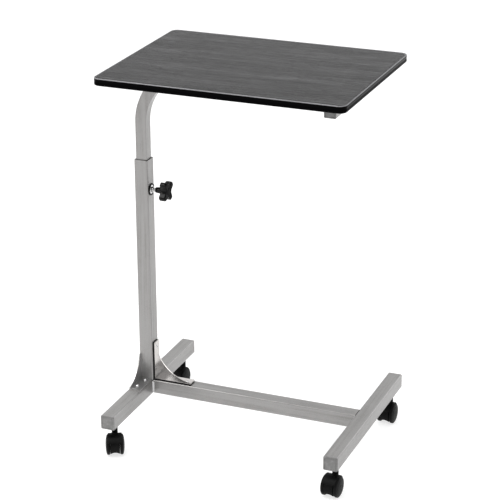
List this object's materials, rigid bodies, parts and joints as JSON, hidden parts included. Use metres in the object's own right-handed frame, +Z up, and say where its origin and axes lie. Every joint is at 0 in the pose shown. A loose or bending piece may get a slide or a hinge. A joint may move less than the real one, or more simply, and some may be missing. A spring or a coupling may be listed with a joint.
{
  "type": "overbed table",
  "caption": "Wheeled overbed table: black wood-grain top on a gooseneck tube that slides in a one-sided square mast, H base with swivel casters.",
  "frame": {"origin": "floor plane, under the middle of the base frame", "axes": "+X along the length of the top away from the mast, +Y from the near long edge to the far one, +Z up"},
  "size_m": [0.6129, 0.4905, 0.94],
  "materials": {
    "black_laminate": "black wood-grain laminate, satin",
    "black_edging": "extruded black edging, semi-gloss",
    "silver_tube": "silver-grey powder coat, satin",
    "bright_steel": "plated sheet steel, smooth",
    "chrome_steel": "bright plated",
    "zinc_steel": "zinc plated",
    "grey_plastic": "moulded grey, matte",
    "black_plastic": "moulded black, glossy",
    "caster_plastic": "moulded black nylon",
    "wheel_plastic": "moulded black nylon, matte",
    "nylon": "black nylon",
    "black_rubber": "black rubber strip"
  },
  "bodies": {
    "base": {"outer_mast": "silver_tube", "guide_bushing": "nylon", "lock_boss": "chrome_steel", "foot_left": "silver_tube", "foot_right": "silver_tube", "cross_bar": "silver_tube", "frame_welds": "silver_tube", "foot_cap_left_near": "grey_plastic", "foot_cap_left_far": "grey_plastic", "foot_cap_right_near": "grey_plastic", "foot_cap_right_far": "grey_plastic", "gusset_crossbar": "bright_steel", "gusset_foot": "bright_steel", "gusset_liner": "black_rubber", "lock_washer": "black_plastic", "gusset_bolts_crossbar": "chrome_steel", "gusset_bolts_foot": "chrome_steel", "caster_near_left_socket": "nylon", "caster_near_left_stem": "zinc_steel", "caster_near_right_socket": "nylon", "caster_near_right_stem": "zinc_steel", "caster_far_left_socket": "nylon", "caster_far_left_stem": "zinc_steel", "caster_far_right_socket": "nylon", "caster_far_right_stem": "zinc_steel"},
    "upper": {"tabletop_board": "black_laminate", "edge_band": "black_edging", "tabletop_screws": "zinc_steel", "gooseneck_tube": "silver_tube", "neck_glide_shoe": "nylon", "top_crossbar": "silver_tube", "crossbar_cap_near": "grey_plastic", "crossbar_cap_far": "grey_plastic", "mounting_tabs": "silver_tube"},
    "clamp_pad": {"clamp_pad": "nylon"},
    "lock_knob": {"lock_knob": "black_plastic", "lock_stud": "chrome_steel"},
    "caster_near_left": {"caster_near_left_hood": "caster_plastic", "caster_near_left_axle": "zinc_steel"},
    "wheel_near_left_a": {"caster_near_left_wheel_a": "wheel_plastic"},
    "wheel_near_left_b": {"caster_near_left_wheel_b": "wheel_plastic"},
    "caster_near_right": {"caster_near_right_hood": "caster_plastic", "caster_near_right_axle": "zinc_steel"},
    "wheel_near_right_a": {"caster_near_right_wheel_a": "wheel_plastic"},
    "wheel_near_right_b": {"caster_near_right_wheel_b": "wheel_plastic"},
    "caster_far_left": {"caster_far_left_hood": "caster_plastic", "caster_far_left_axle": "zinc_steel"},
    "wheel_far_left_a": {"caster_far_left_wheel_a": "wheel_plastic"},
    "wheel_far_left_b": {"caster_far_left_wheel_b": "wheel_plastic"},
    "caster_far_right": {"caster_far_right_hood": "caster_plastic", "caster_far_right_axle": "zinc_steel"},
    "wheel_far_right_a": {"caster_far_right_wheel_a": "wheel_plastic"},
    "wheel_far_right_b": {"caster_far_right_wheel_b": "wheel_plastic"}
  },
  "joints": [
    {"name": "height_slide", "type": "slide", "parent": "base", "child": "upper", "axis": [0, 0, 1], "range_m": [-0.085, 0.215]},
    {"name": "pad_travel", "type": "slide", "parent": "base", "child": "clamp_pad", "axis": [1, 0, 0], "range_m": [0, 0.00226]},
    {"name": "knob_turn", "type": "hinge", "parent": "clamp_pad", "child": "lock_knob", "pos_m": [-0.226, 0, 0.605], "axis": [1, 0, 0], "range_deg": [0, 540]},
    {"name": "swivel_near_left", "type": "hinge", "parent": "base", "child": "caster_near_left", "pos_m": [-0.2825, -0.203, 0.06], "axis": [0, 0, 1], "continuous": true},
    {"name": "spin_near_left_a", "type": "hinge", "parent": "caster_near_left", "child": "wheel_near_left_a", "pos_m": [-0.27417, -0.22008, 0.025], "axis": [0.8988, 0.4384, 0], "continuous": true},
    {"name": "spin_near_left_b", "type": "hinge", "parent": "caster_near_left", "child": "wheel_near_left_b", "pos_m": [-0.27417, -0.22008, 0.025], "axis": [0.8988, 0.4384, 0], "continuous": true},
    {"name": "swivel_near_right", "type": "hinge", "parent": "base", "child": "caster_near_right", "pos_m": [0.2825, -0.203, 0.06], "axis": [0, 0, 1], "continuous": true},
    {"name": "spin_near_right_a", "type": "hinge", "parent": "caster_near_right", "child": "wheel_near_right_a", "pos_m": [0.28117, -0.22195, 0.025], "axis": [0.9976, -0.0698, 0], "continuous": true},
    {"name": "spin_near_right_b", "type": "hinge", "parent": "caster_near_right", "child": "wheel_near_right_b", "pos_m": [0.28117, -0.22195, 0.025], "axis": [0.9976, -0.0698, 0], "continuous": true},
    {"name": "swivel_far_left", "type": "hinge", "parent": "base", "child": "caster_far_left", "pos_m": [-0.2825, 0.203, 0.06], "axis": [0, 0, 1], "continuous": true},
    {"name": "spin_far_left_a", "type": "hinge", "parent": "caster_far_left", "child": "wheel_far_left_a", "pos_m": [-0.28449, 0.1841, 0.025], "axis": [0.9945, -0.1045, 0], "continuous": true},
    {"name": "spin_far_left_b", "type": "hinge", "parent": "caster_far_left", "child": "wheel_far_left_b", "pos_m": [-0.28449, 0.1841, 0.025], "axis": [0.9945, -0.1045, 0], "continuous": true},
    {"name": "swivel_far_right", "type": "hinge", "parent": "base", "child": "caster_far_right", "pos_m": [0.2825, 0.203, 0.06], "axis": [0, 0, 1], "continuous": true},
    {"name": "spin_far_right_a", "type": "hinge", "parent": "caster_far_right", "child": "wheel_far_right_a", "pos_m": [0.28184, 0.18401, 0.025], "axis": [0.9994, -0.0349, 0], "continuous": true},
    {"name": "spin_far_right_b", "type": "hinge", "parent": "caster_far_right", "child": "wheel_far_right_b", "pos_m": [0.28184, 0.18401, 0.025], "axis": [0.9994, -0.0349, 0], "continuous": true}
  ],
  "couplings": [
    {"joint": "pad_travel", "follows": "knob_turn", "m_per_rad": 0.00023873}
  ]
}
